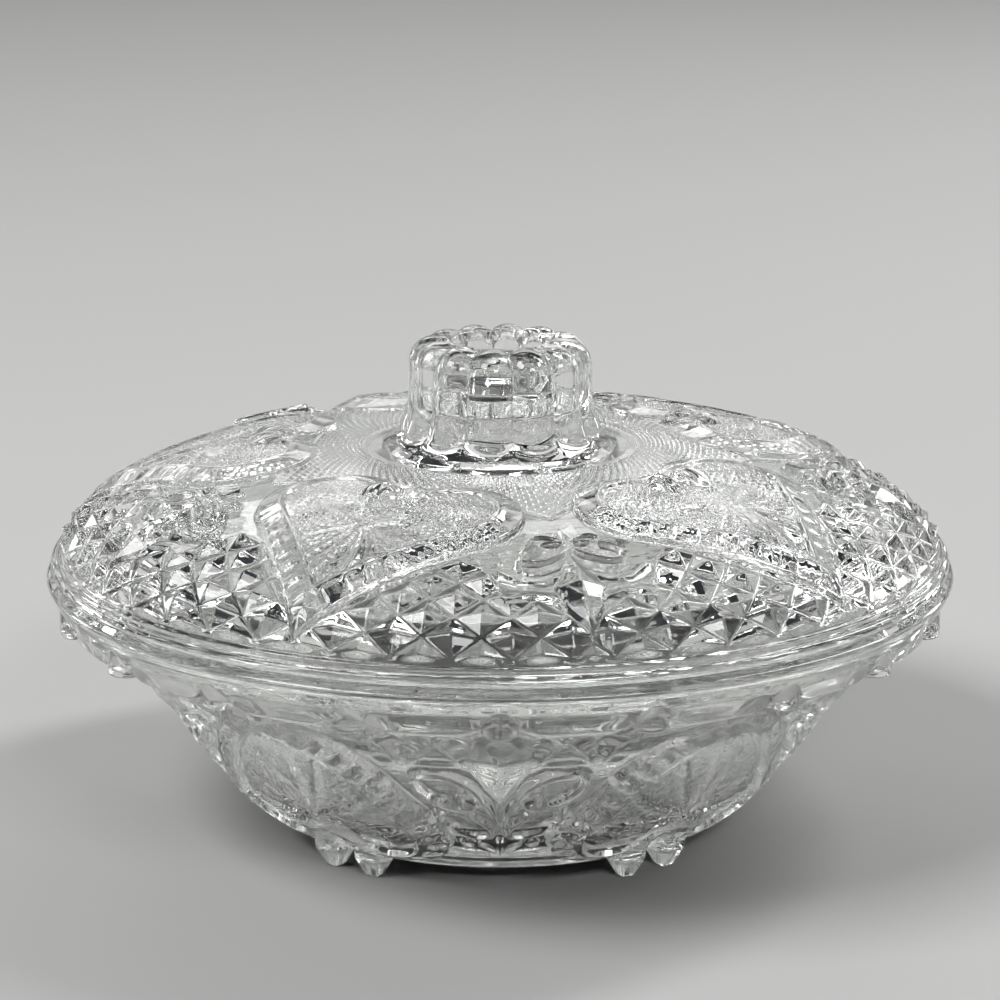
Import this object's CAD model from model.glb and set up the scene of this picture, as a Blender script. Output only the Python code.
"""Dress the covered candy dish: cut the pressed pattern into bowl and lid, finish the glass, light it."""
import logging
import math
from dataclasses import dataclass, field
from enum import Enum
from typing import Callable, Dict, List, Optional, Sequence, Tuple, Union

import bpy
import numpy as np
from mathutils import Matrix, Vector

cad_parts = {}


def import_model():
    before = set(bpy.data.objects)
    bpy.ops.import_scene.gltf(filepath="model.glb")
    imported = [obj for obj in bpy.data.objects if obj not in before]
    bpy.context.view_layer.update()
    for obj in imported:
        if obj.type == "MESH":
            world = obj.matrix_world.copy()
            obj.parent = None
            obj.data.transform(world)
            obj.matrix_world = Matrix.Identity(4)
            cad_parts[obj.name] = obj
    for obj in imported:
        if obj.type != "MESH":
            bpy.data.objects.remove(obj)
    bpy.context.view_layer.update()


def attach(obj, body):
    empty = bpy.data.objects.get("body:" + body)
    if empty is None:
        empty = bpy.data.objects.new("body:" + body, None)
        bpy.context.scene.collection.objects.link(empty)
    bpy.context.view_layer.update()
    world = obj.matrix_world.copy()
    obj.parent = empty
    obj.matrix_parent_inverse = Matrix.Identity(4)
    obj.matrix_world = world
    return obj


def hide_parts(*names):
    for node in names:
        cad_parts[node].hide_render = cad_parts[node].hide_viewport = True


log = logging.getLogger("candy_dish")
Array = np.ndarray
Number = Union[float, np.ndarray]
Point = Tuple[float, float]
MM = 0.001
HEARTS = 5
STEP = 360.0 / HEARTS
HALF_STEP = STEP / 2.0


# ---------- small maths for relief ----------

def mix(low: Number, high: Number, share: Number) -> Number:
    """Return the value that lies the given share of the way from low to high."""
    return low + (high - low) * share


def step_up(low: float, high: float, value: Array) -> Array:
    """Rise smoothly from 0 at low to 1 at high.

    Args:
        low: value at which the rise starts.
        high: value at which it ends.
        value: the values to judge.

    Returns:
        The share risen, between 0 and 1.
    """
    t = np.clip((value - low) / (high - low), 0.0, 1.0)
    return t * t * (3.0 - 2.0 * t)


def bead(distance: Array, radius: float) -> Array:
    """Return the height share of a round-topped bead at a distance from its middle."""
    return np.sqrt(np.clip(1.0 - (distance / radius) ** 2, 0.0, 1.0))


def cut_lattice(u: Array, v: Array) -> Array:
    """Return the height share of four-sided points between two crossing sets of V cuts.

    Args:
        u: coordinate across the first set of cuts, which lie on whole numbers.
        v: coordinate across the second set.

    Returns:
        1 at each point's tip, 0 along the cuts.
    """
    fu, fv = np.abs(u - np.floor(u) - 0.5), np.abs(v - np.floor(v) - 0.5)
    return 1.0 - 2.0 * np.maximum(fu, fv)


def along_line(x: Array, y: Array, start: Point, end: Point) -> Tuple[Array, Array]:
    """Measure points against a straight line.

    Args:
        x: first coordinates of the points.
        y: second coordinates of the points.
        start: where the line starts.
        end: where it ends.

    Returns:
        The share of the line at which each point lies, and its signed distance to the side.
    """
    dx, dy = end[0] - start[0], end[1] - start[1]
    length = math.hypot(dx, dy)
    px, py = x - start[0], y - start[1]
    return (px * dx + py * dy) / length ** 2, (py * dx - px * dy) / length


def lens(t: Array, width: float, widest: float) -> Array:
    """Return the half width of a pointed oval along its length.

    Args:
        t: share of the length at each point.
        width: half its width at its widest.
        widest: share of the length at which it is widest.

    Returns:
        The half width at each point.
    """
    s = np.clip(t, 0.0, 1.0)
    shape = np.where(s < widest, s / widest, (1.0 - s) / (1.0 - widest))
    return width * np.sqrt(np.clip(shape * (2.0 - shape), 0.0, 1.0))


def leaf(x: Array, y: Array, start: Point, end: Point, width: float, height: float,
         widest: float = 0.45, veins: int = 0, bend: float = 0.0) -> Array:
    """Shape a leaf with a raised midrib, and with side veins where it has room for them.

    Args:
        x: first coordinates of the points.
        y: second coordinates of the points.
        start: where the leaf starts.
        end: its tip.
        width: half its width at its widest.
        height: height of its midrib.
        widest: share of the length at which it is widest.
        veins: number of side veins.
        bend: sideways bow of the midrib.

    Returns:
        The height of the leaf, 0 outside it.
    """
    t, side = along_line(x, y, start, end)
    side = side - 4.0 * bend * t * (1.0 - t)
    half = lens(t, width, widest)
    inside = (t > 0.0) & (t < 1.0) & (np.abs(side) < half)
    share = np.clip(1.0 - np.abs(side) / np.maximum(half, 1e-6), 0.0, 1.0)
    body = height * (0.45 * np.sqrt(share) + 0.55 * np.exp(-(side / (0.22 * width)) ** 2))
    if veins:
        wave = np.cos(2.0 * math.pi * (t * veins + np.abs(side) / width * 0.5))
        body = body + 0.13 * height * wave * share
    return np.where(inside, body, 0.0)


def blade(tail: Array, side: Array, wide: Array, crest: Array) -> Array:
    """Shape a kite-like blade with a sharp ridge along its middle and a low step at its edge.

    Args:
        tail: share of the blade's length at each point, 0 and 1 at its ends.
        side: distance from its middle.
        wide: half its width there.
        crest: height of its ridge there.

    Returns:
        The height of the blade, 0 outside it.
    """
    slope = np.clip(1.0 - np.abs(side) / np.maximum(wide, 0.05), 0.0, 1.0)
    inside = (tail > 0.0) & (tail < 1.0) & (slope > 0.0)
    return np.where(inside, crest * mix(0.34, 1.0, slope), 0.0)


def loop(x: Array, y: Array, start: Point, end: Point, width: float, line: float, height: float,
         hollow: float = 0.0, widest: float = 0.6) -> Array:
    """Shape a pointed loop of raised line with a lower middle.

    Args:
        x: first coordinates of the points.
        y: second coordinates of the points.
        start: where the loop leaves its knot.
        end: its far end.
        width: half its width at its widest.
        line: half the width of the raised line.
        height: height of that line.
        hollow: height of the middle.
        widest: share of the length at which it is widest.

    Returns:
        The height of the loop, 0 outside it.
    """
    t, side = along_line(x, y, start, end)
    half = lens(t, width, widest)
    edge = np.abs(np.abs(side) - half)
    over = np.maximum(-t, t - 1.0) * math.hypot(end[0] - start[0], end[1] - start[1])
    edge = np.where(over > 0.0, np.hypot(side, over), edge)
    inside = (t > 0.0) & (t < 1.0) & (np.abs(side) < half)
    return np.maximum(height * bead(edge, line), np.where(inside, hollow, 0.0))


def outline_field(x: Array, y: Array, outline: Array) -> Tuple[Array, Array]:
    """Measure points against a closed outline.

    Args:
        x: first coordinates of the points.
        y: second coordinates of the points.
        outline: the outline's corners, one a row.

    Returns:
        The distance to the outline, positive inside, and the length along it to the nearest place.
    """
    best = np.full(x.shape, 1e9)
    where = np.zeros(x.shape)
    inside = np.zeros(x.shape, bool)
    run = 0.0
    for a, b in zip(outline, np.roll(outline, -1, axis=0)):
        d = b - a
        length = float(np.hypot(*d))
        t = np.clip(((x - a[0]) * d[0] + (y - a[1]) * d[1]) / length ** 2, 0.0, 1.0)
        gap = np.hypot(x - a[0] - d[0] * t, y - a[1] - d[1] * t)
        nearer = gap < best
        best = np.where(nearer, gap, best)
        where = np.where(nearer, run + t * length, where)
        if a[1] != b[1]:
            crosses = (a[1] > y) != (b[1] > y)
            inside ^= crosses & (x < (b[0] - a[0]) * (y - a[1]) / (b[1] - a[1]) + a[0])
        run += length
    return np.where(inside, best, -best), where


def arc(a: Point, b: Point, sag: float, count: int = 6) -> List[Point]:
    """Return points along a shallow arc from a to b.

    Args:
        a: first end.
        b: second end.
        sag: how far the arc bulges to the right of its chord.
        count: number of steps.

    Returns:
        The points, both ends among them.
    """
    dx, dy = b[0] - a[0], b[1] - a[1]
    length = math.hypot(dx, dy)
    found = []
    for k in range(count + 1):
        t = k / count
        s = 4.0 * sag * t * (1.0 - t) / length
        found.append((a[0] + dx * t + dy * s, a[1] + dy * t - dx * s))
    return found


def rounded(points: List[Point], corner: Point, reach: float, count: int = 8) -> List[Point]:
    """Round one corner of a profile with a smooth curve.

    Args:
        points: the profile.
        corner: the corner to round.
        reach: how far from the corner the curve starts and ends.
        count: number of steps along the curve.

    Returns:
        The profile with the curve in place of the corner.
    """
    near = [math.hypot(p[0] - corner[0], p[1] - corner[1]) < reach for p in points]
    first, last = near.index(True), len(near) - near[::-1].index(True)
    start, end = points[first - 1], points[last]
    curve = []
    for k in range(1, count):
        t = k / count
        curve.append(tuple(mix(mix(a, c, t), mix(c, b, t), t) for a, c, b in zip(start, corner, end)))
    return points[:first] + curve + points[last:]


def heart_outline(tip: float, root: float, spread: float, lobe: float, bow: float = 0.0) -> Array:
    """Return the corners of a heart that points along the first coordinate.

    Args:
        tip: first coordinate of the point.
        root: first coordinate of the lobes' middles.
        spread: distance of those middles from the heart's line.
        lobe: radius of a lobe.
        bow: outward bow of the flanks.

    Returns:
        The corners, one a row.
    """
    flank = math.radians(90.0) - math.asin(lobe / math.hypot(tip - root, spread)) \
        - math.atan2(spread, tip - root) + math.radians(5.0)
    cleft = math.pi + math.asin(min(1.0, (spread - 0.3) / lobe))
    edge = [(root + lobe * math.cos(a), spread + lobe * math.sin(a))
            for a in np.linspace(flank, cleft, 26)]
    side = arc((tip, 0.0), edge[0], bow, 8) + edge[1:]
    mirror = [(p[0], -p[1]) for p in reversed(side[1:])]
    return np.array(side + mirror)


def stipple(x: Array, y: Array, pitch: float, seed: int) -> Array:
    """Scatter small round beads evenly, each a little off its place in the grid.

    Args:
        x: first coordinates of the points.
        y: second coordinates of the points.
        pitch: distance between beads.
        seed: seed of the scatter.

    Returns:
        The height share of the beads.
    """
    rng = np.random.default_rng(seed)
    size = 160
    jitter = (rng.random((size, size, 2)) - 0.5) * 0.55
    girth = 0.43 + 0.08 * rng.random((size, size))
    row = pitch * 0.87
    best = np.zeros(x.shape)
    j0 = np.floor(y / row).astype(int)
    for dj in (-1, 0, 1):
        j = j0 + dj
        shift = 0.5 * (j % 2)
        i0 = np.floor(x / pitch - shift).astype(int)
        for di in (-1, 0, 1, 2):
            i = i0 + di
            jit = jitter[i % size, j % size]
            cx = (i + shift + jit[..., 0]) * pitch
            cy = (j + 0.5 + jit[..., 1]) * row
            reach = girth[i % size, j % size] * pitch
            best = np.maximum(best, 1.0 - ((x - cx) ** 2 + (y - cy) ** 2) / reach ** 2)
    return best


def fire_polish(height: Array) -> Array:
    """Soften every edge a little, as the flame does to pressed glass.

    Args:
        height: heights, rows along the profile and columns round the axis.

    Returns:
        The softened heights.
    """
    height = (np.roll(height, 1, 1) + 2.0 * height + np.roll(height, -1, 1)) / 4.0
    inner = (height[:-2] + 2.0 * height[1:-1] + height[2:]) / 4.0
    return np.concatenate([height[:1], inner, height[-1:]])


# ---------- turned shells ----------

@dataclass
class Grid:
    """Places on one stretch of a turned shell, rows along its profile and columns round its axis, in mm.

    Attributes:
        r: distance from the axis.
        z: height.
        angle: angle round the axis from the pattern's first bow, in degrees.
        run: length along the profile from the stretch's start.
        out_r: the outward direction's share away from the axis.
        out_z: the outward direction's share upward.
    """

    r: Array
    z: Array
    angle: Array
    run: Array
    out_r: Array
    out_z: Array

    def raised(self, height: Array) -> Tuple[Array, Array]:
        """Return radius and height of the places after they rise by height off the surface."""
        return self.r + self.out_r * height, self.z + self.out_z * height


@dataclass
class Stretch:
    """One stretch of a shell's profile with its own fineness and relief.

    Attributes:
        points: the profile's corners as (radius, height) in mm.
        columns: number of columns round the axis.
        pitch: distance between rows in mm.
        form: gives the new radius and height of each place, or None for a plain stretch.
        sectors: how often the form repeats round the axis.
        ease: radius of the small rounding at corners in mm.
    """

    points: Sequence[Point]
    columns: int
    pitch: float
    form: Optional[Callable[[Grid], Tuple[Array, Array]]] = None
    sectors: int = 1
    ease: float = 0.35

    def rows(self) -> Array:
        """Return the stretch's points, eased at their corners and spaced by the pitch."""
        given = [np.array(p, float) for p in self.points]
        eased: List[Array] = [given[0]]
        for before, here, after in zip(given, given[1:], given[2:]):
            a, b = before - here, after - here
            la, lb = np.hypot(*a), np.hypot(*b)
            turn = math.pi - math.acos(float(np.clip(np.dot(a, b) / (la * lb), -1.0, 1.0)))
            if turn < math.radians(16.0):
                eased.append(here)
                continue
            cut = min(self.ease, 0.42 * la, 0.42 * lb)
            p, q = here + a / la * cut, here + b / lb * cut
            eased += [p, (p + q) * 0.25 + here * 0.5, q]
        eased.append(given[-1])
        found: List[Array] = [eased[0]]
        for p, q in zip(eased, eased[1:]):
            steps = max(1, int(math.ceil(float(np.hypot(*(q - p))) / self.pitch)))
            found += [p + (q - p) * (k / steps) for k in range(1, steps + 1)]
        return np.array(found)


@dataclass
class TurnedShell:
    """A closed mesh of revolution made of stretches, from the axis below, out and up, back to the axis.

    Attributes:
        name: name of the piece.
        turn: angle of the pattern's first bow from the front, in degrees.
        stretches: the stretches in order along the profile.
    """

    name: str
    turn: float
    stretches: List[Stretch]

    def grid(self, stretch: Stretch, rows: Array) -> Grid:
        """Lay out the places of a stretch.

        Args:
            stretch: the stretch to lay out.
            rows: its profile points.

        Returns:
            The places of one repeat of the stretch.
        """
        count = stretch.columns // stretch.sectors
        span = 360.0 / stretch.sectors
        angle = -HALF_STEP + span * np.arange(count) / count
        slope = np.gradient(rows, axis=0)
        length = np.maximum(np.hypot(slope[:, 0], slope[:, 1]), 1e-9)
        steps = np.hypot(*np.diff(rows, axis=0).T)
        run = np.concatenate([[0.0], np.cumsum(steps)])
        wide = [np.repeat(v[:, None], count, 1) for v in
                (rows[:, 0], rows[:, 1], run, slope[:, 1] / length, -slope[:, 0] / length)]
        return Grid(wide[0], wide[1], np.repeat(angle[None, :], len(rows), 0), wide[2], wide[3], wide[4])

    def rings(self) -> List[Tuple[Array, Array]]:
        """Return every ring of the shell as radii and heights, one pair a ring."""
        found: List[Tuple[Array, Array]] = []
        for stretch in self.stretches:
            rows = stretch.rows()
            grid = self.grid(stretch, rows)
            r, z = stretch.form(grid) if stretch.form else (grid.r, grid.z)
            r, z = np.tile(r, (1, stretch.sectors)), np.tile(z, (1, stretch.sectors))
            skip = 1 if found and len(found[-1][0]) == stretch.columns else 0
            found += [(r[k], z[k]) for k in range(skip, len(rows))]
        return found

    def build(self) -> bpy.types.Object:
        """Build the shell's mesh with a map that unrolls it round the axis.

        Returns:
            The new object.
        """
        rings = self.rings()
        start = [0]
        for radii, _ in rings:
            start.append(start[-1] + len(radii))
        places = np.zeros((start[-1] + 2, 3))
        for base, (radii, heights) in zip(start, rings):
            count = len(radii)
            angle = np.radians(self.turn - HALF_STEP + 360.0 * np.arange(count) / count)
            places[base:base + count] = np.stack(
                [radii * np.sin(angle), -radii * np.cos(angle), heights], 1)
        places[-2] = (0.0, 0.0, rings[0][1].mean())
        places[-1] = (0.0, 0.0, rings[-1][1].mean())
        total = len(rings)
        heights = [(k + 1) / (total + 1) for k in range(total)]
        bands = []
        for k in range(total - 1):
            low, high = len(rings[k][0]), len(rings[k + 1][0])
            join = self.join_alike if low == high else self.join_rings
            bands.append(join(start[k], low, heights[k], start[k + 1], high, heights[k + 1]))
        bands.append(self.close_ring(start[0], len(rings[0][0]), start[-1], heights[0], 0.0))
        bands.append(self.close_ring(start[-2], len(rings[-1][0]), start[-1] + 1, heights[-1], 1.0))
        return mesh_object(self.name, places * MM, np.concatenate([tris for tris, _ in bands]),
                           np.concatenate([maps for _, maps in bands]))

    @staticmethod
    def join_alike(base0: int, low: int, v0: float, base1: int, high: int, v1: float) -> Tuple[Array, Array]:
        """Join two rings of the same count with a band of triangles.

        Args:
            base0: first vertex of the lower ring.
            low: its count.
            v0: its place on the map.
            base1: first vertex of the upper ring.
            high: its count, which is the same.
            v1: its place on the map.

        Returns:
            The triangles and their places on the map.
        """
        j = np.arange(low)
        n = (j + 1) % high
        tris = np.stack([base0 + j, base0 + n, base1 + n, base0 + j, base1 + n, base1 + j], 1)
        u, w = j / low, (j + 1) / low
        lower, upper = v0 + 0 * u, v1 + 0 * u
        maps = np.stack([u, lower, w, lower, w, upper, u, lower, w, upper, u, upper], 1)
        return tris.reshape(-1, 3), maps.reshape(-1, 3, 2)

    @staticmethod
    def close_ring(base: int, count: int, hub: int, v: float, edge: float) -> Tuple[Array, Array]:
        """Close the first or last ring with a fan of triangles round a hub on the axis.

        Args:
            base: first vertex of the ring.
            count: its count.
            hub: vertex of the hub.
            v: the ring's place on the map.
            edge: the hub's place on the map, 0 for the first ring and 1 for the last.

        Returns:
            The triangles and their places on the map.
        """
        j = np.arange(count)
        n = (j + 1) % count
        a, b = (n, j) if edge == 0.0 else (j, n)
        ua, ub = ((j + 1) / count, j / count) if edge == 0.0 else (j / count, (j + 1) / count)
        maps = np.stack([ua, v + 0 * ua, ub, v + 0 * ua, (ua + ub) / 2, edge + 0 * ua], 1)
        return np.stack([base + a, base + b, hub + 0 * j], 1), maps.reshape(-1, 3, 2)

    @staticmethod
    def join_rings(base0: int, low: int, v0: float, base1: int, high: int, v1: float) -> Tuple[Array, Array]:
        """Join two rings whose counts differ by a whole factor with a band of triangles.

        Args:
            base0: first vertex of the lower ring.
            low: its count.
            v0: its place on the map.
            base1: first vertex of the upper ring.
            high: its count.
            v1: its place on the map.

        Returns:
            The triangles and their places on the map.
        """
        fine, coarse = max(low, high), min(low, high)
        factor = fine // coarse
        fb, cb, vf, vc = (base0, base1, v0, v1) if low > high else (base1, base0, v1, v0)
        tris: List[Tuple[int, int, int]] = []
        uvs: List[Tuple[float, ...]] = []
        for c in range(coarse):
            nxt = (c + 1) % coarse
            for s in range(factor):
                f0, f1 = c * factor + s, c * factor + s + 1
                hub, uh = (c, c / coarse) if s < factor / 2 else (nxt, (c + 1) / coarse)
                tri = (fb + f0, fb + f1 % fine, cb + hub)
                uv = (f0 / fine, vf, f1 / fine, vf, uh, vc)
                if low < high:
                    tri, uv = (tri[1], tri[0], tri[2]), (uv[2], uv[3], uv[0], uv[1], uv[4], uv[5])
                tris.append(tri)
                uvs.append(uv)
                if s == (factor - 1) // 2:
                    mid = c * factor + s + 1
                    tri = (cb + nxt, cb + c, fb + mid % fine)
                    uv = ((c + 1) / coarse, vc, c / coarse, vc, mid / fine, vf)
                    if low < high:
                        tri, uv = (tri[1], tri[0], tri[2]), (uv[2], uv[3], uv[0], uv[1], uv[4], uv[5])
                    tris.append(tri)
                    uvs.append(uv)
        return np.array(tris), np.array(uvs).reshape(-1, 3, 2)


def mesh_object(name: str, places: Array, triangles: Array, maps: Array) -> bpy.types.Object:
    """Make a smooth-shaded mesh object from arrays.

    Args:
        name: name of the object.
        places: vertex places in metres.
        triangles: vertex numbers, three a row.
        maps: places on the map, three a triangle.

    Returns:
        The object, linked into the scene.
    """
    mesh = bpy.data.meshes.new(name)
    mesh.vertices.add(len(places))
    mesh.vertices.foreach_set("co", places.astype(np.float32).ravel())
    mesh.loops.add(triangles.size)
    mesh.loops.foreach_set("vertex_index", triangles.astype(np.int32).ravel())
    mesh.polygons.add(len(triangles))
    mesh.polygons.foreach_set("loop_start", np.arange(0, triangles.size, 3, dtype=np.int32))
    mesh.polygons.foreach_set("use_smooth", np.ones(len(triangles), bool))
    layer = mesh.uv_layers.new(name="OFBake")
    layer.data.foreach_set("uv", maps.astype(np.float32).ravel())
    mesh.update()
    mesh.validate()
    made = bpy.data.objects.new(name, mesh)
    bpy.context.scene.collection.objects.link(made)
    return made


@dataclass
class Post:
    """A short upright post of glass that is melted into a shell: a peg or a toe.

    Attributes:
        profile: its corners as (radius, height) in mm, from the bottom up.
        columns: number of sides.
        flat: whether it has four flattened faces.
    """

    profile: Sequence[Point]
    columns: int = 40
    flat: bool = False

    def arrays(self, x: float, y: float, facing: float) -> Tuple[Array, Array, Array]:
        """Lay out one post.

        Args:
            x: its axis across the dish in mm.
            y: its axis along the view in mm.
            facing: angle it faces, in degrees.

        Returns:
            Vertex places in mm, triangles, and their places on the map.
        """
        count = self.columns
        round_it = 2.0 * math.pi * np.arange(count) / count
        girth = (np.cos(round_it) ** 6 + np.sin(round_it) ** 6) ** (-1.0 / 6.0) if self.flat else 1.0
        angle = round_it + math.radians(facing)
        rings = []
        for r, z in self.profile:
            rings.append(np.stack([x + r * girth * np.cos(angle), y + r * girth * np.sin(angle),
                                   z + 0 * angle], 1))
        places = np.concatenate(rings + [np.array([[x, y, self.profile[0][1]], [x, y, self.profile[-1][1]]])])
        j = np.arange(count)
        n = (j + 1) % count
        tris = []
        for k in range(len(rings) - 1):
            a, b = k * count, (k + 1) * count
            tris.append(np.stack([a + j, a + n, b + n, a + j, b + n, b + j], 1).reshape(-1, 3))
        low, high = len(rings) * count, len(rings) * count + 1
        tris.append(np.stack([n, j, low + 0 * j], 1))
        top = (len(rings) - 1) * count
        tris.append(np.stack([top + j, top + n, high + 0 * j], 1))
        triangles = np.concatenate(tris)
        maps = places[triangles][:, :, :2] / 400.0 + 0.5
        return places, triangles, maps


def melt_on(shell: bpy.types.Object, posts: Sequence[Tuple[Array, Array, Array]], name: str) -> None:
    """Join posts to a shell as one closed body of glass.

    Args:
        shell: the shell, which is changed.
        posts: places, triangles and maps of the posts.
        name: name for the helper object that holds the posts for a moment.
    """
    places, triangles, maps, base = [], [], [], 0
    for p, t, m in posts:
        places.append(p)
        triangles.append(t + base)
        maps.append(m)
        base += len(p)
    helper = mesh_object(name, np.concatenate(places) * MM, np.concatenate(triangles), np.concatenate(maps))
    join = shell.modifiers.new("melt", "BOOLEAN")
    join.operation = "UNION"
    join.solver = "MANIFOLD"
    join.object = helper
    graph = bpy.context.evaluated_depsgraph_get()
    made = bpy.data.meshes.new_from_object(shell.evaluated_get(graph))
    shell.modifiers.clear()
    old = shell.data
    shell.data = made
    made.name = shell.name
    bpy.data.meshes.remove(old)
    bpy.data.objects.remove(helper)
    made.polygons.foreach_set("use_smooth", np.ones(len(made.polygons), bool))


# ---------- the lid ----------

@dataclass
class Lid:
    """The domed lid with its lobed knob, hearts, bows and diamond points.

    Attributes hold the lid's sizes in mm, with heights from the table, and angles in degrees.
    """

    # Shell and rim
    rim_r: float = 90.0
    seat_z: float = 53.1
    turn: float = 11.0
    dome_rise: float = 21.4
    edge_h: float = 2.4
    wall: float = 4.0
    locate_h: float = 3.4
    locate_r: float = 80.5
    under_r: float = 77.5
    seat_w: float = 7.0
    dome_power: float = 3.6
    dome_root: float = 0.6
    # Knob, its recess and the cove round it
    knob_r: float = 18.3
    knob_h: float = 20.6
    knob_base_r: float = 20.2
    knob_round: float = 5.0
    lobes: int = 12
    recess_r: float = 9.6
    recess_h: float = 11.0
    cove_r: float = 26.0
    # Hearts
    heart_h: float = 2.4
    field_drop: float = 0.75
    border_w: float = 4.4
    heart_ledge: float = 1.0
    reed_pitch: float = 4.3
    reed_h: float = 0.17
    fine_reed_pitch: float = 1.1
    fine_reed_h: float = 0.04
    bead_pitch: float = 1.36
    bead_h: float = 0.5
    # Diamond points, bow, drop and the ring round the knob
    point_h: float = 1.7
    row_pitch: float = 4.45
    column_pitch: float = 3.6
    knot_r: float = 64.2
    drop_start: float = 66.0
    drop_end: float = 84.2
    drop_w: float = 4.6
    ring_points: int = 110
    ring_r: float = 37.4
    ring_reach: float = 12.4
    ring_tip_w: float = 15.5
    heart: Array = field(default_factory=lambda: heart_outline(86.2, 49.05, 12.38, 13.97))
    # Fineness of the dome's mesh
    columns: int = 1920
    pitch: float = 0.29

    @property
    def lip_r(self) -> float:
        """Radius at which the dome meets the rolled edge."""
        return self.rim_r - 1.2

    @property
    def dome_z(self) -> float:
        """Height at which the dome starts."""
        return self.seat_z + self.edge_h

    @property
    def knob_z(self) -> float:
        """Height at which the knob starts."""
        return self.dome_z + self.dome_rise

    def dome(self, r: float) -> float:
        """Return the height of the dome's ground.

        Args:
            r: distance from the axis.

        Returns:
            Its height from the table.
        """
        lean = pow(1.0 - pow(self.lip_r / self.rim_r, self.dome_power), self.dome_root)
        rise = pow(1.0 - pow(min(r, self.lip_r) / self.rim_r, self.dome_power), self.dome_root)
        return self.dome_z + self.dome_rise * (rise - lean * min(r, self.lip_r) / self.lip_r)

    def hearts(self, g: Grid) -> Tuple[Array, Array, Array]:
        """Shape the heart: bevelled border with reeds, ridge, beaded field, plant and fan beads.

        Args:
            g: places on the dome.

        Returns:
            The relief inside the heart, the fine beads on it, and the distance to its outline.
        """
        turned = np.radians(np.where(g.angle < 0.0, g.angle + HALF_STEP, g.angle - HALF_STEP))
        x, y = g.r * np.cos(turned), g.r * np.sin(turned)
        edge, where = outline_field(x, y, self.heart)
        w = self.border_w
        share = np.clip(edge / w, 0.0, 1.0)
        bevel = mix(self.heart_ledge, self.heart_h, share ** 0.85)
        flank = step_up(52.0, 60.0, x) * step_up(86.0, 80.0, x)
        blocks = np.clip(1.6 * np.cos(2.0 * math.pi * where / self.reed_pitch) + 0.4, -1.0, 1.0)
        fine = np.cos(2.0 * math.pi * where / self.fine_reed_pitch)
        middle = step_up(0.3, 1.2, edge) * step_up(w - 0.2, w - 1.2, edge)
        bevel = bevel + middle * flank * (self.reed_h * blocks + self.fine_reed_h * fine)
        level = self.heart_h - self.field_drop
        ground = mix(self.heart_h + 0.15, level, step_up(w + 0.45, w + 1.3, edge))
        plant = self.plant(x, y)
        relief = np.where(edge < w, bevel, ground + plant * step_up(w + 0.9, w + 1.6, edge))
        fans = np.maximum(self.fan_bead(x, y, -1.0), self.fan_bead(x, y, 1.0))
        clear = step_up(0.25, 0.05, plant) * step_up(0.3, 0.0, fans) * step_up(w + 1.2, w + 1.7, edge)
        beads = self.bead_h * stipple(x, y, self.bead_pitch, 5) * clear
        return np.where(edge > 0.0, np.maximum(relief, fans), 0.0), beads, edge

    @staticmethod
    def plant(x: Array, y: Array) -> Array:
        """Shape the spray of leaves that lies in a heart's field, with a small floret in each lobe.

        Args:
            x: length along the heart's line, in mm.
            y: distance from that line, in mm.

        Returns:
            The height of the plant, 0 beside it.
        """
        # Start, tip, half width, height, widest place, veins and bend of each leaf
        leaves = (
            ((61.0, 0.6), (77.0, -2.6), 2.5, 1.05, 0.5, 7, 0.4),
            ((60.8, -1.0), (72.5, -6.4), 1.7, 0.8, 0.5, 6, 0.3),
            ((61.6, 1.6), (79.2, 5.2), 3.1, 1.25, 0.62, 0, 0.9),
            ((61.0, 2.4), (72.2, 9.6), 1.2, 0.75, 0.4, 0, 0.3),
            ((60.4, 2.8), (67.4, 12.2), 1.3, 0.75, 0.45, 5, 0.3),
            ((59.6, 2.6), (60.8, 13.4), 1.2, 0.65, 0.45, 5, 0.2),
            ((59.2, 2.0), (54.2, 11.4), 1.8, 0.9, 0.5, 6, 0.3),
            ((58.8, 0.8), (50.6, 7.4), 1.4, 0.75, 0.5, 5, 0.2),
            ((59.2, -1.6), (54.0, -10.2), 1.9, 0.9, 0.5, 6, -0.3),
            ((60.0, -2.2), (64.6, -9.6), 1.5, 0.8, 0.5, 5, 0.2),
            ((58.6, -0.4), (50.2, -4.4), 1.3, 0.7, 0.5, 4, -0.2),
        )
        parts = [leaf(x, y, *shape) for shape in leaves]
        parts.append(1.25 * bead(np.hypot(x - 60.2, y - 0.6), 1.9))
        for along, aside in ((51.6, 14.2), (50.8, -13.6)):
            for k in range(5):
                a = math.radians(72.0 * k + 15.0)
                petal = np.hypot(x - along - 1.5 * math.cos(a), y - aside - 1.5 * math.sin(a))
                parts.append(0.9 * bead(petal, 0.85))
        return np.maximum.reduce(parts)

    @staticmethod
    def fan_bead(x: Array, y: Array, side: float) -> Array:
        """Shape one of the two ribbed beads in a heart's cleft.

        Args:
            x: length along the heart's line, in mm.
            y: distance from that line, in mm.
            side: -1 or 1 for the side of the line on which the bead lies.

        Returns:
            The height of the bead, 0 beside it.
        """
        dx, dy = x - 46.2, y - side * 3.7
        far = np.hypot(dx / 4.7, dy / 3.3)
        dome = np.sqrt(np.clip(1.0 - far ** 2, 0.0, 1.0))
        ribs = np.cos(8.0 * np.arctan2(dy * 1.4, dx + 6.0) / 0.62)
        return np.where(far < 1.0, 1.0 + 2.7 * dome + 0.22 * ribs * step_up(1.0, 0.75, far), 0.0)

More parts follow.
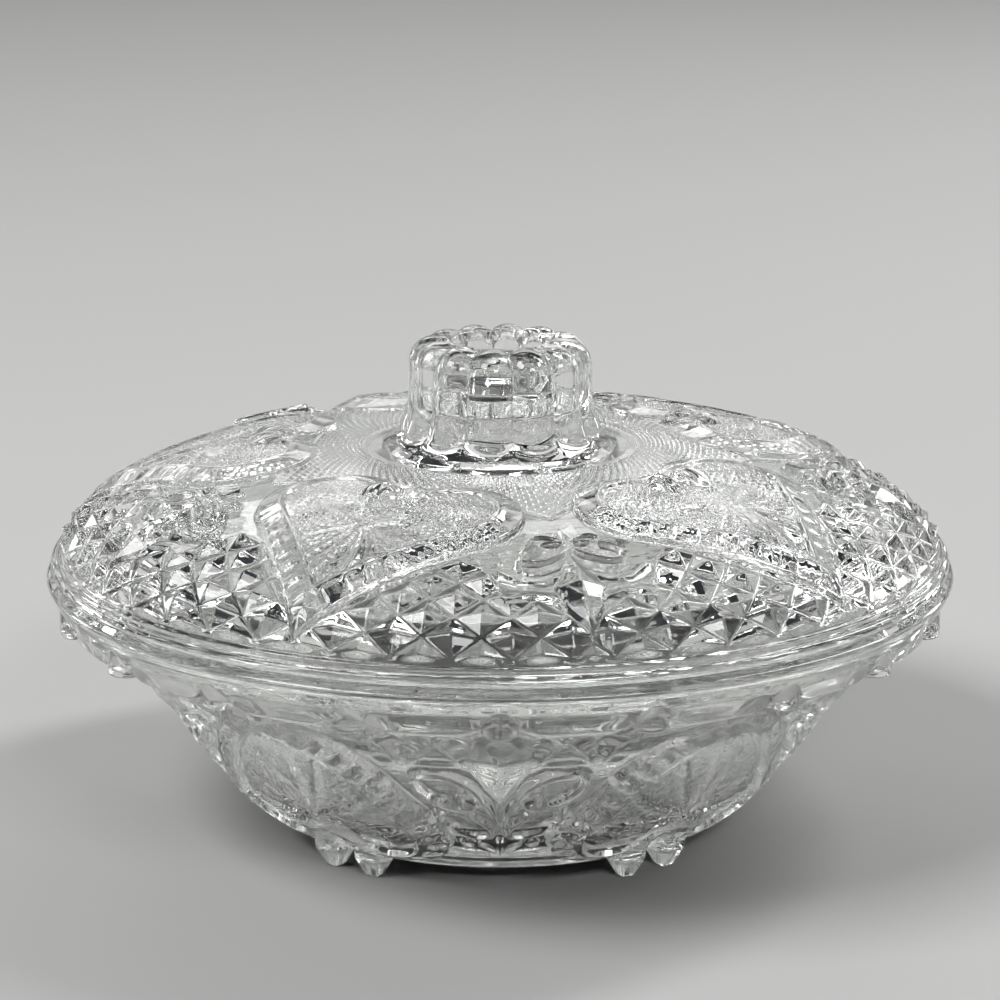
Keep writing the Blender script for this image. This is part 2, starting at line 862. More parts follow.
    def bows(self, g: Grid) -> Array:
        """Shape the bow, its drop and swags, and the diamond points on either side.

        Args:
            g: places on the dome.

        Returns:
            The relief between the hearts.
        """
        turned = np.radians(g.angle)
        x, y = g.r * np.cos(turned), np.abs(g.r * np.sin(turned))
        aside = np.abs(g.angle)
        across = (aside - 6.0) / (2.0 * self.column_pitch)
        up = (g.run - 7.3) / (2.0 * self.row_pitch)
        points = np.maximum(cut_lattice(across + up, across - up), 0.0)
        swag_low = np.interp(y, [0.0, 4.3, 8.7, 13.5, 18.0, 30.0], [82.0, 77.6, 75.9, 76.4, 60.0, 60.0])
        tail, side = along_line(x, y, (self.drop_start, 0.0), (self.drop_end, 0.0))
        wide = self.drop_w * np.interp(tail, [0.0, 0.22, 0.47, 0.75, 1.0], [0.1, 0.5, 1.0, 0.66, 0.0])
        beside = np.where((tail > 0.0) & (tail < 1.0), step_up(-0.2, 0.5, np.abs(side) - wide), 1.0)
        region = step_up(-0.5, 0.4, x - swag_low) * step_up(27.0, 25.5, g.run) * beside
        diamonds = self.point_h * points * region * step_up(2.2, 3.0, g.run)
        swag_high = np.interp(y, [0.0, 2.1, 6.0, 10.0, 12.6, 13.5], [69.0, 70.6, 72.4, 71.6, 69.0, 68.0])
        in_swag = step_up(-0.3, 0.5, x - swag_high) * step_up(0.3, -0.5, x - swag_low)
        in_swag = in_swag * step_up(15.0, 14.0, y) * beside
        middle = 0.5 * (swag_high + swag_low)
        half = np.maximum(0.5 * (swag_low - swag_high), 0.4)
        scoop = in_swag * (0.5 + 0.9 * np.clip(np.abs(x - middle) / half, 0.0, 1.0) ** 2)
        crest = np.interp(tail, [0.0, 0.3, 0.5, 1.0], [1.2, 2.7, 3.1, 1.4])
        drop = blade(tail, side, wide, crest)
        petals = loop(x, y, (63.0, 0.5), (60.6, 6.2), 1.5, 0.75, 1.8, 0.25, 0.6)
        loops = loop(x, y, (64.4, 0.2), (67.6, 9.4), 2.4, 0.95, 2.5, 0.2, 0.62)
        knot = 2.1 * bead(np.hypot((x - self.knot_r) / 1.2, y), 1.5)
        bud = leaf(x, y, (63.4, 0.0), (56.4, 0.0), 1.6, 1.5, 0.5)
        return np.maximum.reduce([diamonds, scoop, drop, petals, loops, knot, bud])

    def collar_ring(self, g: Grid) -> Array:
        """Shape the fine cross-cut ring round the knob, which dips to a point above each bow.

        Args:
            g: places on the dome.

        Returns:
            The height of the ring, 0 outside it.
        """
        count = self.ring_points / 360.0
        climb = self.ring_points / (2.0 * math.pi) * np.log(g.r / 30.0)
        points = cut_lattice(g.angle * count + climb, g.angle * count - climb)
        dip = np.clip(1.0 - np.abs(g.angle) / self.ring_tip_w, 0.0, 1.0)
        low = self.ring_r + self.ring_reach * dip ** 0.8
        inner = step_up(27.2, 28.0, g.r)
        body = (0.25 + 0.62 * points) * step_up(0.3, -0.3, g.r - low) * inner
        border = 0.75 * bead(g.r - low, 0.5)
        return np.maximum(body, border)

    def dome_form(self, g: Grid) -> Tuple[Array, Array]:
        """Raise the whole pattern off the dome.

        Args:
            g: places on the dome.

        Returns:
            Their new radii and heights.
        """
        heart, beads, edge = self.hearts(g)
        clear = step_up(0.15, 0.7, -edge)
        beside = self.bows(g) * clear
        rim = 0.34 * bead(g.run - 1.0, 0.55) + 0.26 * bead(g.run - 2.2, 0.45)
        height = np.where(edge > 0.0, heart, beside) + rim
        height = fire_polish(height * step_up(0.0, 0.5, g.run))
        height = np.maximum(height, self.collar_ring(g) * clear) + np.maximum(beads, 0.0)
        return g.raised(height)

    def knob_form(self, g: Grid) -> Tuple[Array, Array]:
        """Press the lobes into the knob.

        Args:
            g: places on the knob's side and top.

        Returns:
            Their new radii and heights.
        """
        lobe = self.knob_r * 0.31
        turn = 360.0 / self.lobes
        off = np.radians(np.mod(g.angle - 0.41 * turn + turn / 2.0, turn) - turn / 2.0)
        centre = self.knob_r - lobe
        scalloped = centre * np.cos(off) + np.sqrt(np.maximum(lobe ** 2 - (centre * np.sin(off)) ** 2, 0.0))
        share = scalloped / self.knob_r
        strength = step_up(self.recess_r + 1.0, self.recess_r + 3.6, g.r) \
            * step_up(self.knob_z + 0.2, self.knob_z + 3.4, g.z)
        high = step_up(self.knob_z + 13.0, self.knob_z + self.knob_h - 1.0, g.z) \
            * step_up(self.recess_r - 0.2, self.recess_r + 2.4, g.r)
        return g.r * (1.0 + (share - 1.0) * 1.35 * strength), g.z + (share - 1.0) * 14.0 * high

    def stretches(self) -> List[Stretch]:
        """Trace the lid's profile from the axis underneath, out to the rim and up to the knob's recess.

        Returns:
            The stretches in order.
        """
        z, seat, cove = self.knob_z, self.seat_z, self.cove_r
        under = [(1.2, self.dome(0.0) - self.wall), (8.0, self.dome(0.0) - self.wall)]
        below = [(8.0, self.dome(0.0) - self.wall), (cove, self.dome(cove) - self.wall)]
        below += [(r, self.dome(r) - self.wall) for r in
                  (mix(cove, self.under_r, math.sin(math.radians(5 * k))) for k in range(1, 19))]
        low = seat - self.locate_h
        rim = [below[-1], (self.under_r, low + 0.6), (self.under_r + 0.6, low), (self.locate_r - 0.6, low),
               (self.locate_r, low + 0.6), (self.locate_r, seat), (self.locate_r + self.seat_w, seat),
               (self.rim_r - 0.5, seat + 0.3), (self.rim_r, seat + 0.9), (self.rim_r, self.dome_z - 0.9),
               (self.rim_r - 0.4, self.dome_z - 0.2), (self.lip_r, self.dome_z)]
        dome = [(r, self.dome(r)) for r in
                (mix(cove, self.lip_r, math.sin(math.radians(1.5 * k))) for k in range(60, -1, -1))]
        top = z + self.knob_h
        side = [(cove, self.dome(cove)), (23.6, self.dome(cove) + 0.35),
                (self.knob_base_r + 1.4, self.dome(cove) + 1.2), (self.knob_base_r + 0.4, z + 0.9),
                (self.knob_base_r, z + 1.8), (self.knob_base_r - 0.1, z + 2.8),
                (self.knob_r + 0.9, z + 5.2), (self.knob_r + 0.2, z + 8.0),
                (self.knob_r, top - self.knob_round)]
        side += [(self.knob_r - self.knob_round * (1.0 - math.cos(math.radians(a))),
                  top - self.knob_round * (1.0 - math.sin(math.radians(a)))) for a in range(10, 91, 10)]
        side += [(self.recess_r + 1.2, top), (self.recess_r + 0.2, top - 0.4), (self.recess_r, top - 1.2),
                 (self.recess_r - 1.0, top - self.recess_h + 1.4), (self.recess_r - 2.4, top - self.recess_h),
                 (4.0, top - self.recess_h)]
        end = [(4.0, top - self.recess_h), (1.0, top - self.recess_h)]
        return [Stretch(under, 64, 2.0), Stretch(below, 320, 1.0), Stretch(rim, 320, 0.5),
                Stretch(dome, self.columns, self.pitch, self.dome_form, HEARTS),
                Stretch(side, 480, 0.35, self.knob_form),
                Stretch(end, 60, 1.0)]

    def build(self) -> bpy.types.Object:
        """Build the lid as one closed body of glass."""
        return TurnedShell("lid_glass", self.turn, self.stretches()).build()


# ---------- the bowl ----------

@dataclass
class Bowl:
    """The footed bowl with its hearts, leaf bows, pegs and toes.

    Attributes hold the bowl's sizes in mm, with heights from the table, and angles in degrees.
    """

    # Wall, collar and mouth
    rim_r: float = 91.0
    seat_z: float = 53.0
    collar_z: float = 44.0
    collar_r: float = 84.6
    waist_z: float = 33.0
    waist_r: float = 68.6
    shoulder_r: float = 90.2
    mouth_r: float = 82.0
    # Foot, base and floor
    foot_r: float = 46.8
    foot_w: float = 4.8
    foot_lift: float = 3.2
    foot_top: float = 6.0
    base_r: float = 47.4
    floor_z: float = 9.0
    floor_r: float = 39.4
    star_rays: int = 20
    # Thickness and bow of the wall
    wall: float = 4.6
    base_wall: float = 3.8
    wall_bow: float = 2.2
    waist_ease: float = 6.0
    # Hearts
    heart_h: float = 2.6
    field_drop: float = 1.5
    border_w: float = 5.4
    heart_ledge: float = 1.5
    crest_h: float = 0.5
    reed_pitch: float = 4.6
    reed_h: float = 0.42
    fine_reed_pitch: float = 1.2
    fine_reed_h: float = 0.12
    bead_pitch: float = 1.3
    bead_h: float = 0.26
    # Leaf between the hearts, and the facets above it
    leaf_start: float = 24.2
    leaf_end: float = 43.2
    leaf_w: float = 4.9
    facet_h: float = 1.9
    facet_z: float = 33.2
    facet_rise: float = 8.4
    facet_w: float = 5.9
    # Pegs and toes
    pegs: int = 20
    peg_r: float = 3.4
    peg_h: float = 6.6
    toe_h: float = 4.4
    toe_r: float = 3.3
    toe_ring_r: float = 48.0
    toe_gap: float = 5.8
    heart: Array = field(default_factory=lambda: heart_outline(32.4, -7.4, 12.24, 13.39, 3.2))
    # Fineness of the wall's mesh
    columns: int = 1280
    pitch: float = 0.4

    @property
    def peg_step(self) -> float:
        """Angle from one peg to the next, in degrees."""
        return 360.0 / self.pegs

    @property
    def lean(self) -> float:
        """Angle of the wall from upright, in radians."""
        return math.atan2(self.waist_r - self.base_r, self.waist_z - self.foot_top)

    def hearts(self, g: Grid) -> Tuple[Array, Array, Array]:
        """Shape the heart that stands on the wall: cross-cut border, ridge, and tooled leaves inside.

        Args:
            g: places on the wall.

        Returns:
            The relief inside the heart, the fine beads on it, and the distance to its outline.
        """
        turned = np.radians(np.where(g.angle < 0.0, g.angle + HALF_STEP, g.angle - HALF_STEP))
        mid_z = 0.5 * (self.foot_top + self.waist_z)
        mid_r = 0.5 * (self.base_r + self.waist_r) + self.wall_bow
        x = (g.r * np.cos(turned) - mid_r) * math.sin(self.lean) + (g.z - mid_z) * math.cos(self.lean)
        y = g.r * np.sin(turned)
        edge, where = outline_field(x, y, self.heart)
        w = self.border_w
        share = np.clip(edge / w, 0.0, 1.0)
        crest = self.heart_h + self.crest_h
        bevel = mix(self.heart_ledge, crest - 0.1, share ** 0.8)
        blocks = np.clip(1.8 * np.cos(2.0 * math.pi * where / self.reed_pitch) + 0.3, -1.0, 1.0)
        fine = np.cos(2.0 * math.pi * where / self.fine_reed_pitch)
        middle = step_up(0.5, 1.4, edge) * step_up(w - 0.6, w - 1.8, edge) * step_up(-19.0, -14.0, x)
        bevel = bevel + middle * (self.reed_h * blocks + self.fine_reed_h * fine)
        level = self.heart_h - self.field_drop
        ground = mix(crest, level, step_up(w + 0.35, w + 1.05, edge))
        plant = self.plant(x, y)
        relief = np.where(edge < w, bevel, ground + plant * step_up(w + 0.8, w + 1.6, edge))
        clear = step_up(w + 1.2, w + 1.9, edge) * step_up(0.25, 0.05, plant)
        spots = np.maximum(self.bead_h * clear, 0.2 * middle)
        return np.where(edge > 0.0, relief, 0.0), spots * stipple(x, y, self.bead_pitch, 7), edge

    @staticmethod
    def plant(x: Array, y: Array) -> Array:
        """Shape the flower and leaves that fill a bowl heart.

        Args:
            x: length along the heart's line, in mm.
            y: distance from that line, in mm.

        Returns:
            The height of the plant, 0 beside it.
        """
        parts = [leaf(x, y, (-2.0, 0.0), (21.5, 0.6), 2.6, 1.5, 0.5, 8, 0.6)]
        # Start, tip, half width, height, veins and bend of each leaf that has a mirrored fellow
        pairs = (((-1.0, 1.4), (12.6, 6.8), 2.1, 1.4, 6, 0.7),
                 ((-3.0, 2.0), (4.0, 14.2), 2.4, 1.4, 6, 0.7),
                 ((-5.0, 2.2), (-6.4, 16.4), 2.2, 1.3, 6, 0.6),
                 ((-7.0, 2.0), (-13.6, 11.6), 1.9, 1.1, 5, 0.4))
        for start, end, width, height, veins, bend in pairs:
            for side in (1.0, -1.0):
                parts.append(leaf(x, y, (start[0], side * start[1]), (end[0], side * end[1]),
                                  width, height, 0.5, veins, side * bend))
        petals = 7
        for k in range(petals):
            a = 2.0 * math.pi * k / petals
            tip = (-4.6 + 4.6 * math.cos(a), 4.6 * math.sin(a))
            parts.append(leaf(x, y, (-4.6, 0.0), tip, 1.3, 1.6, 0.6))
        parts.append(1.9 * bead(np.hypot(x + 4.6, y), 1.6))
        return np.maximum.reduce(parts)

    def bows(self, g: Grid) -> Array:
        """Shape the leaf on its stem with its loops, the facets under the collar and the florets by the foot.

        Args:
            g: places on the wall.

        Returns:
            The relief between the hearts.
        """
        z, y = g.z, np.abs(g.r * np.sin(np.radians(g.angle)))
        tail, side = along_line(z, y, (self.leaf_start, 0.0), (self.leaf_end, 0.0))
        wide = self.leaf_w * np.interp(tail, [0.0, 0.14, 0.3, 0.46, 0.6, 0.8, 1.0],
                               [0.12, 0.5, 0.86, 1.0, 0.92, 0.55, 0.0])
        crest = np.interp(tail, [0.0, 0.4, 0.8, 1.0], [1.6, 3.2, 2.2, 0.8])
        inside = (tail > 0.0) & (tail < 1.0)
        upright = blade(tail, side, wide, crest)
        outline = 1.3 * bead(np.abs(side) - wide, 0.6) * inside
        stem = leaf(z, y, (15.4, 0.0), (26.0, 0.0), 1.4, 1.9, 0.5)
        upper = loop(z, y, (24.0, 3.6), (29.0, 15.6), 3.2, 1.05, 2.3, 0.3, 0.55)
        second = loop(z, y, (18.4, 1.2), (26.2, 6.9), 1.9, 0.85, 2.0, 0.3, 0.6)
        lower = loop(z, y, (15.8, 1.6), (20.6, 11.4), 2.5, 0.95, 2.1, 0.3, 0.6)
        wave = np.abs(np.mod(y, 2.0 * self.facet_w) - self.facet_w) / self.facet_w
        line = self.facet_z + self.facet_rise * wave
        fold = np.clip(1.0 - np.abs(z - line) * 0.62 / 2.9, 0.0, 1.0)
        beside = np.where(inside, step_up(-0.3, 0.6, np.abs(side) - wide), 1.0)
        facets = self.facet_h * fold * step_up(31.6, 32.4, z) * beside
        sill = 0.8 * bead(z - 32.0, 0.55) * step_up(6.0, 7.0, y)
        band = 0.8 * bead(z - 14.7, 0.5) * step_up(10.4, 9.6, y)
        curl = np.hypot(z - 12.2, y - 6.0)
        florets = [0.9 * bead(curl - 1.7, 0.55), 0.9 * bead(curl, 0.8),
                   leaf(z, y, (7.4, 0.0), (13.6, 0.0), 1.5, 1.3, 0.5),
                   leaf(z, y, (8.2, 1.0), (11.4, 4.6), 1.1, 1.0, 0.5),
                   leaf(z, y, (7.6, 1.6), (8.4, 9.6), 1.2, 1.0, 0.5),
                   0.7 * bead(z - 7.0, 0.45)]
        plain = step_up(20.5, 18.5, np.abs(g.angle))
        parts = [upright, outline, stem, upper, second, lower, facets, sill, band] + florets
        return np.maximum.reduce(parts) * plain

    def wall_form(self, g: Grid) -> Tuple[Array, Array]:
        """Raise the whole pattern off the wall.

        Args:
            g: places on the wall.

        Returns:
            Their new radii and heights.
        """
        heart, beads, edge = self.hearts(g)
        height = np.where(edge > 0.0, heart, self.bows(g) * step_up(0.1, 0.7, -edge))
        height = fire_polish(height) + np.where(edge > 0.0, np.maximum(beads, 0.0), 0.0)
        r, z = g.raised(height * step_up(self.collar_z + 0.1, self.collar_z - 1.6, g.z))
        return r, z + self.scallop(g)

    def scallop(self, g: Grid) -> Array:
        """Return how far the collar's lower edge hangs down between the pegs.

        Args:
            g: places on the wall or the collar.

        Returns:
            The change of height, negative where the edge hangs.
        """
        half = self.peg_step / 2.0
        off = np.abs(np.mod(g.angle + half, self.peg_step) - half)
        hang = step_up(1.4, 5.0, off)
        return -1.5 * hang * step_up(self.collar_z - 2.2, self.collar_z - 0.2, g.z) \
            * step_up(self.collar_z + 4.0, self.collar_z + 0.6, g.z)

    def collar_form(self, g: Grid) -> Tuple[Array, Array]:
        """Hang the collar's lower edge down between the pegs."""
        return g.r, g.z + self.scallop(g)

    def star_form(self, g: Grid) -> Tuple[Array, Array]:
        """Press the star's rays into the underside.

        Args:
            g: places on the underside.

        Returns:
            Their new radii and heights.
        """
        half = 180.0 / self.star_rays
        off = np.abs(np.mod(g.angle, 2.0 * half) - half) / half
        ray = np.clip(1.0 - off * g.r / (2.2 + 0.06 * g.r) / 1.6, 0.0, 1.0)
        return g.raised(-0.9 * ray * step_up(5.0, 9.0, g.r) * step_up(39.5, 36.0, g.r))

    def stretches(self) -> List[Stretch]:
        """Trace the bowl's profile from the axis underneath, up the wall, over the rim and down inside.

        Returns:
            The stretches in order.
        """
        base = self.floor_z - self.base_wall
        inner_foot = self.foot_r - self.foot_w
        hub = [(1.2, base), (5.0, base)]
        under = [(5.0, base), (inner_foot - 1.0, base)]
        foot = [(inner_foot - 1.0, base), (inner_foot, self.foot_lift), (self.foot_r - 0.5, self.foot_lift),
                (self.foot_r, self.foot_lift + 0.6), (self.foot_r, self.foot_top - 0.3),
                (self.base_r, self.foot_top)]
        wall = arc((self.base_r, self.foot_top), (self.waist_r, self.waist_z), self.wall_bow, 24)
        wall += arc((self.waist_r, self.waist_z), (self.collar_r, self.collar_z), -0.8, 9)[1:]
        wall = rounded(wall, (self.waist_r, self.waist_z), self.waist_ease)
        rim = [(self.collar_r, self.collar_z), (self.collar_r + 3.0, self.collar_z + 1.4),
               (self.shoulder_r - 0.9, self.collar_z + 4.0), (self.shoulder_r, self.collar_z + 5.8),
               (self.rim_r, self.seat_z - 1.4), (self.rim_r - 0.5, self.seat_z - 0.6),
               (self.rim_r - 2.0, self.seat_z),
               (self.mouth_r, self.seat_z), (self.mouth_r - 1.0, self.seat_z - 5.0),
               (self.collar_r - self.wall - 2.6, self.collar_z + 0.6)]
        inside = [rim[-1]] + arc((self.waist_r - self.wall, self.waist_z + 1.0), (self.floor_r, self.floor_z),
                                 -self.wall_bow - 4.0, 20) + [(6.0, self.floor_z)]
        well = [(6.0, self.floor_z), (1.2, self.floor_z)]
        return [Stretch(hub, 64, 2.0), Stretch(under, 320, 0.8, self.star_form), Stretch(foot, 320, 0.5),
                Stretch(wall, self.columns, self.pitch, self.wall_form, HEARTS, 0.1),
                Stretch(rim, 320, 0.5, self.collar_form), Stretch(inside, 320, 1.0, None, 1, 2.5),
                Stretch(well, 64, 2.0)]

    def posts(self) -> List[Tuple[Array, Array, Array]]:
        """Lay out the pegs under the collar and the pairs of toes under the hearts.

        Returns:
            Vertex places in mm, triangles and places on the map, one set a post.
        """
        made = []
        peg = Post([(self.peg_r - 1.1, 0.0), (self.peg_r - 0.35, 0.12), (self.peg_r - 0.06, 0.5),
                    (self.peg_r, 1.1), (self.peg_r, self.peg_h)])
        ring = self.rim_r - self.peg_r - 1.2
        for k in range(self.pegs):
            angle = math.radians(self.peg_step * k)
            p, t, m = peg.arrays(ring * math.sin(angle), -ring * math.cos(angle), math.degrees(angle) - 90.0)
            made.append((p + np.array([0.0, 0.0, self.collar_z - 0.3]), t, m))
        toe = Post([(self.toe_r * 0.34, 0.0), (self.toe_r * 0.44, 0.15), (self.toe_r * 0.5, 0.5),
                    (self.toe_r * 0.86, 2.9), (self.toe_r * 0.96, 3.7), (self.toe_r, self.toe_h + 0.6),
                    (self.toe_r, 9.0), (self.toe_r * 0.92, 11.4), (self.toe_r * 0.55, 13.4)], flat=True)
        for k in range(HEARTS):
            for side in (-1.0, 1.0):
                angle = math.radians(HALF_STEP + STEP * k + side * self.toe_gap)
                made.append(toe.arrays(self.toe_ring_r * math.sin(angle), -self.toe_ring_r * math.cos(angle),
                                       math.degrees(angle) - 90.0))
        return made

    def build(self) -> bpy.types.Object:
        """Build the bowl as one closed body of glass.

        Returns:
            The bowl, with its posts melted on.
        """
        made = TurnedShell("bowl_glass", 0.0, self.stretches()).build()
        melt_on(made, self.posts(), "posts")
        return made


# ---------- shader maths ----------

class Nodes:
    """The nodes of a material or of the room, under construction: one method adds any node."""

    def __init__(self, owner: Union[bpy.types.Material, bpy.types.World]) -> None:
        """Empty the nodes of a material or world.

        Args:
            owner: the material or world.
        """
        self.owner = owner
        self.owner.use_nodes = True
        self.tree = self.owner.node_tree
        self.tree.nodes.clear()

    def node(self, kind: str, settings: Optional[Dict[str, object]] = None,
             **inputs: object) -> bpy.types.Node:
        """Add a node.

        Args:
            kind: the node's type.
            settings: its settings, which are set first.
            inputs: values or sockets for its inputs, with spaces written as underscores, or i and a number.

        Returns:
            The node.
        """
        made = self.tree.nodes.new(kind)
        for key, value in (settings or {}).items():
            setattr(made, key, value)
        for key, value in inputs.items():
            name = key.replace("_", " ")
            numbered = name[0] == "i" and name[1:].isdigit()
            socket = made.inputs[int(name[1:]) if numbered else name]
            if isinstance(value, Value):
                value = value.socket
            if isinstance(value, bpy.types.NodeSocket):
                self.tree.links.new(value, socket)
            else:
                socket.default_value = value
        return made


class Value:
    """A number that varies over the surface; arithmetic on it adds Math nodes."""

    def __init__(self, nodes: Nodes, socket: bpy.types.NodeSocket) -> None:
        """Wrap a socket of one of the nodes."""
        self.nodes, self.socket = nodes, socket

    def _math(self, operation: str, first: object, second: object) -> "Value":
        """Add one Math node and wrap what it gives."""
        made = self.nodes.node("ShaderNodeMath", {"operation": operation}, i0=first, i1=second)
        return Value(self.nodes, made.outputs[0])

    def __add__(self, other: Union["Value", float]) -> "Value":
        """Return the sum."""
        return self._math("ADD", self, other)

    def __radd__(self, other: float) -> "Value":
        """Return the sum with a number before."""
        return self._math("ADD", other, self)

    def __rsub__(self, other: float) -> "Value":
        """Return the difference from a number before."""
        return self._math("SUBTRACT", other, self)

    def __mul__(self, other: Union["Value", float]) -> "Value":
        """Return the product."""
        return self._math("MULTIPLY", self, other)

    def __rmul__(self, other: float) -> "Value":
        """Return the product with a number before."""
        return self._math("MULTIPLY", other, self)

    def power(self, other: float) -> "Value":
        """Return the value raised to a power."""
        return self._math("POWER", self, other)


class Tint(Enum):
    """Casts of clear glass."""

    SILVER = (0.98, 0.988, 0.974)
    SMOKE = (0.42, 0.45, 0.43)


@dataclass(frozen=True)
class PressedGlass:
    """Clear pressed glass with a faint cast, fire-polished, with the ripples of the mould.

    Attributes:
        name: name of the finish.
        tint: the glass's cast where light crosses it squarely.
        depth: its cast along steep faces, where light runs through far more glass.
        falloff: how late the cast turns deep as a face turns away.
        grime: how far the cast turns deep at the bottom of grooves.
        groove: hollowness at which that starts and at which it is full.
        ior: how strongly it bends light.
        roughness: lowest roughness of its surface.
        haze: how much rougher handled patches are.
        ripple: height of the mould's ripples, in metres.
    """

    name: str
    tint: Tint = Tint.SILVER
    depth: Tint = Tint.SMOKE
    falloff: float = 3.5
    grime: float = 0.5
    groove: Tuple[float, float] = (0.495, 0.44)
    ior: float = 1.52
    roughness: float = 0.0
    haze: float = 0.03
    ripple: float = 0.0001

    def make(self) -> bpy.types.Material:
        """Return the finished material."""
        m = Nodes(bpy.data.materials.new(self.name))
        place = m.node("ShaderNodeTexCoord").outputs["Object"]
        broad = Value(m, m.node("ShaderNodeTexNoise", Vector=place, Scale=45.0, Detail=2.0).outputs["Fac"])
        close = Value(m, m.node("ShaderNodeTexNoise", Vector=place, Scale=420.0, Detail=3.0).outputs["Fac"])
        grain = Value(m, m.node("ShaderNodeTexNoise", Vector=place, Scale=2600.0, Detail=2.0).outputs["Fac"])
        rough = self.roughness + self.haze * (broad * close).power(2.0)
        steep = Value(m, m.node("ShaderNodeLayerWeight", Blend=0.5).outputs["Facing"]).power(self.falloff)
        hollow = m.node("ShaderNodeMapRange", {"interpolation_type": "SMOOTHSTEP"}, To_Max=self.grime,
                        Value=m.node("ShaderNodeNewGeometry").outputs["Pointiness"],
                        From_Min=self.groove[0], From_Max=self.groove[1])
        deep = 1.0 - (1.0 - steep) * (1.0 - Value(m, hollow.outputs[0]))
        colour = m.node("ShaderNodeMix", {"data_type": "RGBA"}, i0=deep,
                        i6=(*self.tint.value, 1.0), i7=(*self.depth.value, 1.0))
        wave = broad * 0.7 + close * 0.22 + grain * 0.02
        bump = m.node("ShaderNodeBump", Strength=0.5, Distance=self.ripple, Height=wave)
        shader = m.node("ShaderNodeBsdfPrincipled", Base_Color=colour.outputs[2], Roughness=rough,
                        IOR=self.ior, Transmission_Weight=1.0, Normal=bump.outputs["Normal"])
        m.node("ShaderNodeOutputMaterial", Surface=shader.outputs[0])
        return m.owner


@dataclass(frozen=True)
class Plaster:
    """Matt pale plaster for the floor.

    Attributes:
        name: name of the finish.
        shade: its colour.
    """

    name: str
    shade: Tuple[float, float, float] = (0.62, 0.62, 0.61)

    def make(self) -> bpy.types.Material:
        """Return the finished material."""
        m = Nodes(bpy.data.materials.new(self.name))
        place = m.node("ShaderNodeTexCoord").outputs["Object"]
        cloud = m.node("ShaderNodeTexNoise", Vector=place, Scale=3.0, Detail=4.0).outputs["Fac"]
        colour = m.node("ShaderNodeMix", {"data_type": "RGBA"}, i0=cloud,
                        i6=(*self.shade, 1.0), i7=tuple(c * 0.97 for c in self.shade) + (1.0,))
        shader = m.node("ShaderNodeBsdfPrincipled", Base_Color=colour.outputs[2], Roughness=0.85)
        m.node("ShaderNodeOutputMaterial", Surface=shader.outputs[0])
        return m.owner


# ---------- studio ----------

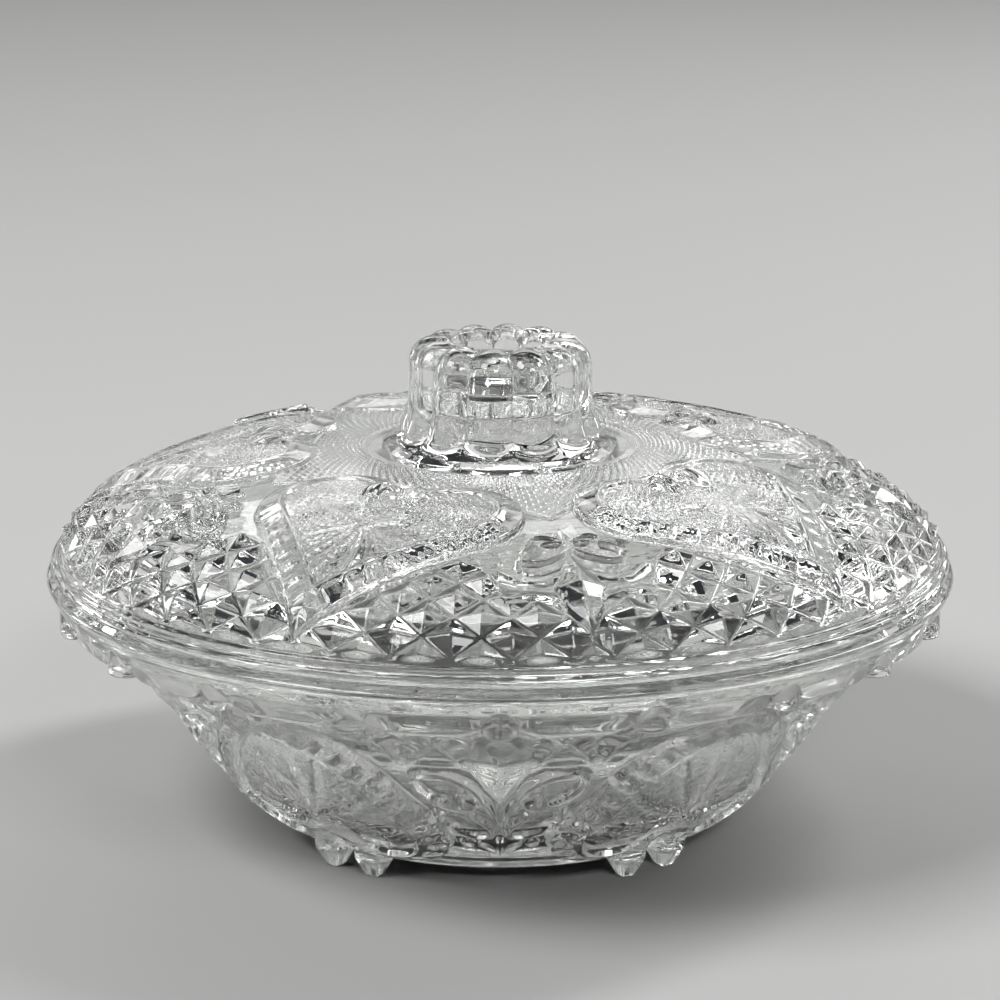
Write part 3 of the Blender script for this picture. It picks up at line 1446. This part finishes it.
@dataclass
class Studio:
    """Plain pale floor, soft lights and the camera.

    Attributes:
        distance: the camera's distance from the dish's axis, in metres.
        height: its height above the table.
        tilt: its downward tilt in radians.
        lens: focal length in mm on a sensor 36 mm wide.
    """

    distance: float = 0.600
    height: float = 0.22128
    tilt: float = 0.25628
    lens: float = 110.84

    def floor(self) -> bpy.types.Object:
        """Build the floor as one wide round sheet.

        Returns:
            The floor.
        """
        count, radius = 96, 6.0
        angle = 2.0 * math.pi * np.arange(count) / count
        rim = np.stack([radius * np.cos(angle), radius * np.sin(angle), 0 * angle], 1)
        places = np.concatenate([rim, [[0.0, 0.0, 0.0]]])
        j = np.arange(count)
        tris = np.stack([j, (j + 1) % count, count + 0 * j], 1)
        made = mesh_object("floor", places, tris, places[tris][:, :, :2] / 14.0 + 0.5)
        made.data.materials.append(Plaster("pale_plaster").make())
        return made

    def lamp(self, name: str, place: Tuple[float, float, float], size: Tuple[float, float],
             watts: float) -> None:
        """Hang one soft oblong lamp that points at the dish.

        Args:
            name: name of the lamp.
            place: where it hangs, in metres.
            size: its width and height.
            watts: its power.
        """
        data = bpy.data.lights.new(name, "AREA")
        data.shape, data.size, data.size_y, data.energy = "RECTANGLE", size[0], size[1], watts
        made = bpy.data.objects.new(name, data)
        made.location = place
        made.rotation_euler = (Vector((0.0, 0.0, 0.05)) - Vector(place)).to_track_quat("-Z", "Y").to_euler()
        bpy.context.scene.collection.objects.link(made)

    def sky(self) -> None:
        """Fill the room with soft light, paler at the horizon than overhead."""
        world = bpy.data.worlds.new("room")
        bpy.context.scene.world = world
        m = Nodes(world)
        aim = m.node("ShaderNodeTexCoord").outputs["Generated"]
        split = m.node("ShaderNodeSeparateXYZ", Vector=aim)

        def between(axis: str, start: float, end: float, floor: float = 0.0) -> Value:
            """Return a value that rises as the view turns along an axis.

            Args:
                axis: X, Y or Z.
                start: share of the axis at which the rise starts.
                end: share at which it ends.
                floor: value before the rise.

            Returns:
                The value, 1 after the rise.
            """
            made = m.node("ShaderNodeMapRange", {"interpolation_type": "SMOOTHSTEP"},
                          Value=split.outputs[axis], From_Min=start, From_Max=end, To_Min=floor)
            return Value(m, made.outputs[0])

        horizon = between("Z", 0.26, 0.02) * between("Y", -0.5, 0.5, 0.25)
        wall = between("Z", 0.1, 0.2) * between("Z", 0.5, 0.38) * between("Y", 0.2, 0.6)
        share = horizon * 0.18 + wall
        tone = m.node("ShaderNodeMix", {"data_type": "RGBA"}, i0=share, i6=(0.03, 0.031, 0.034, 1.0),
                      i7=(0.75, 0.75, 0.74, 1.0))
        back = m.node("ShaderNodeBackground", Color=tone.outputs[2], Strength=1.0)
        m.node("ShaderNodeOutputWorld", Surface=back.outputs[0])

    def camera(self) -> None:
        """Set up the camera in front of the dish."""
        data = bpy.data.cameras.new("camera")
        data.lens, data.sensor_width, data.clip_start = self.lens, 36.0, 0.01
        made = bpy.data.objects.new("camera", data)
        made.location = (0.0, -self.distance, self.height)
        made.rotation_euler = (math.pi / 2.0 - self.tilt, 0.0, 0.0)
        bpy.context.scene.collection.objects.link(made)
        bpy.context.scene.camera = made

    def build(self) -> None:
        """Build floor, lamps, room light and camera."""
        self.floor()
        self.lamp("window", (-1.1, -0.7, 1.5), (1.1, 0.7), 24.0)
        self.lamp("strip", (1.1, 0.7, 1.4), (0.35, 1.1), 14.0)
        self.lamp("front", (0.7, -1.5, 1.2), (0.8, 0.3), 8.0)
        self.lamp("back", (0.0, 2.6, 1.7), (2.4, 0.7), 12.0)
        self.lamp("low_left", (-1.7, 1.1, 0.4), (0.3, 0.5), 4.0)
        self.lamp("low_right", (1.5, 1.4, 0.4), (0.3, 0.5), 4.0)
        self.sky()
        self.camera()


def main() -> None:
    """Build the dish, dress it, and set up the studio."""
    logging.basicConfig(level=logging.INFO, format="%(name)s: %(message)s")
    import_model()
    scene = bpy.context.scene
    scene.view_settings.view_transform = "Standard"
    thick = PressedGlass("thick_pressed_glass", falloff=1.9).make()
    clear = PressedGlass("clear_pressed_glass").make()
    pressings = ((Bowl(), "bowl", "bowl_glass", thick), (Lid(), "lid", "lid_glass", clear))
    for maker, node, slot, glass in pressings:
        piece = maker.build()
        piece.data.materials.clear()
        piece.data.materials.append(glass)
        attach(piece, node)
        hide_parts(node)
        log.info("%s has %d faces", piece.name, len(piece.data.polygons))
    Studio().build()
    scene.cycles.max_bounces = 24
    scene.cycles.transmission_bounces = 24
    scene.cycles.glossy_bounces = 8
    scene.cycles.caustics_refractive = False


if __name__ == "__main__":
    main()
